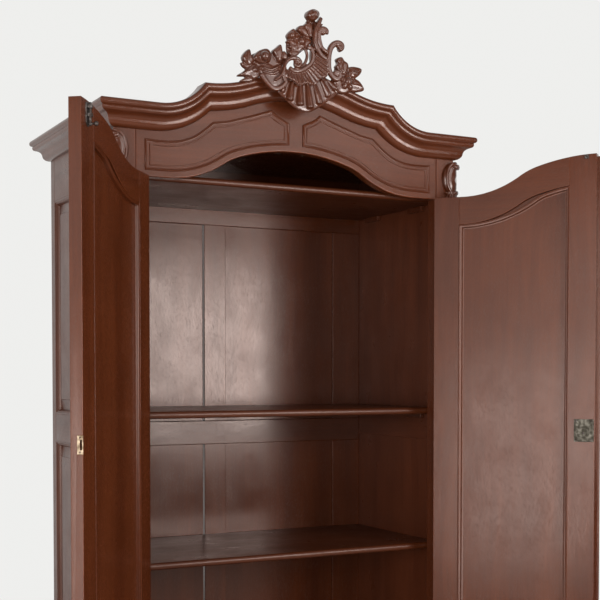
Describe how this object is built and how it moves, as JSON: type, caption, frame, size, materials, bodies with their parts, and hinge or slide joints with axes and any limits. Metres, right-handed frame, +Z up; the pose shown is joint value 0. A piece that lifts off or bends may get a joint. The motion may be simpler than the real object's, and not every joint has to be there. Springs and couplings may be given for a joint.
{
  "type": "armoire",
  "caption": "Two-door mahogany armoire with arched frieze, moulded cornice, carved shell crest, shelves, lock and surface bolts.",
  "frame": {"origin": "on the floor under the middle of the bounding box with both doors standing open", "axes": "+Z up, -Y towards the viewer in front of the doors, +X to the viewer's right"},
  "size_m": [1.745, 1.1499, 2.41],
  "materials": {
    "case_mahogany": "polished mahogany, satin to glossy",
    "door_mahogany": "polished mahogany, glossy",
    "interior_mahogany": "satin mahogany",
    "carved_mahogany": "hand-rubbed carved mahogany",
    "brass": "aged brass",
    "iron": "blackened iron",
    "steel": "dulled steel"
  },
  "bodies": {
    "carcase": {"front_post_left": "case_mahogany", "front_post_right": "case_mahogany", "back_post_left": "case_mahogany", "back_post_right": "case_mahogany", "front_foot_left": "case_mahogany", "front_foot_right": "case_mahogany", "front_apron": "case_mahogany", "side_rails_left": "case_mahogany", "side_rails_right": "case_mahogany", "side_panels_left": "case_mahogany", "side_panels_right": "case_mahogany", "back_rails": "interior_mahogany", "back_stiles_and_muntin": "interior_mahogany", "back_panels": "interior_mahogany", "top_board": "interior_mahogany", "bottom_board": "interior_mahogany", "frieze_board": "case_mahogany", "frieze_moulding_left": "case_mahogany", "frieze_moulding_right": "case_mahogany", "cornice_front": "case_mahogany", "cornice_left": "case_mahogany", "cornice_right": "case_mahogany", "cornice_back": "case_mahogany", "crest": "carved_mahogany", "corner_ornament_left": "carved_mahogany", "corner_ornament_right": "carved_mahogany", "shelf_upper": "interior_mahogany", "shelf_middle": "interior_mahogany", "shelf_lower": "interior_mahogany", "shelf_cleats": "interior_mahogany", "hinge_pins": "brass", "frame_hinge_leaves": "brass", "top_bolt_keeper": "iron", "bottom_bolt_keeper": "iron", "catch_keeper": "iron"},
    "left_door": {"left_door_hinge_stile": "door_mahogany", "left_door_free_stile": "door_mahogany", "left_door_top_rail": "door_mahogany", "left_door_bottom_rail": "door_mahogany", "left_door_panel": "door_mahogany", "left_door_panel_moulding": "door_mahogany", "left_door_hinge_leaves": "brass", "strike_plate": "brass", "top_bolt_plate": "iron", "bottom_bolt_plate": "iron"},
    "right_door": {"right_door_hinge_stile": "door_mahogany", "right_door_free_stile": "door_mahogany", "right_door_top_rail": "door_mahogany", "right_door_bottom_rail": "door_mahogany", "right_door_panel": "door_mahogany", "right_door_panel_moulding": "door_mahogany", "right_door_hinge_leaves": "brass", "astragal": "door_mahogany", "lock_case": "steel", "escutcheon": "brass"},
    "top_bolt": {"top_bolt": "iron"},
    "bottom_bolt": {"bottom_bolt": "iron"},
    "lock_bolt": {"lock_bolt": "steel"},
    "key": {"key": "brass"}
  },
  "joints": [
    {"name": "left_door_swing", "type": "hinge", "parent": "carcase", "child": "left_door", "pos_m": [-0.53, -0.139, 1.1], "axis": [0, 0, -1], "range_deg": [-129, 21]},
    {"name": "right_door_swing", "type": "hinge", "parent": "carcase", "child": "right_door", "pos_m": [0.53, -0.139, 1.1], "axis": [0, 0, 1], "range_deg": [-129.6, 20.4]},
    {"name": "top_bolt_slide", "type": "slide", "parent": "left_door", "child": "top_bolt", "axis": [0, 0, 1], "range_m": [0, 0.013]},
    {"name": "bottom_bolt_slide", "type": "slide", "parent": "left_door", "child": "bottom_bolt", "axis": [0, 0, -1], "range_m": [0, 0.013]},
    {"name": "lock_bolt_slide", "type": "slide", "parent": "right_door", "child": "lock_bolt", "axis": [0.6374, -0.7705, 0], "range_m": [0, 0.011]},
    {"name": "key_turn", "type": "hinge", "parent": "right_door", "child": "key", "pos_m": [0.83963, -0.52269, 1.094], "axis": [-0.7705, -0.6374, 0], "range_deg": [0, 180]}
  ],
  "couplings": [
    {"joint": "key_turn", "follows": "lock_bolt_slide", "rad_per_m": 285.59}
  ]
}
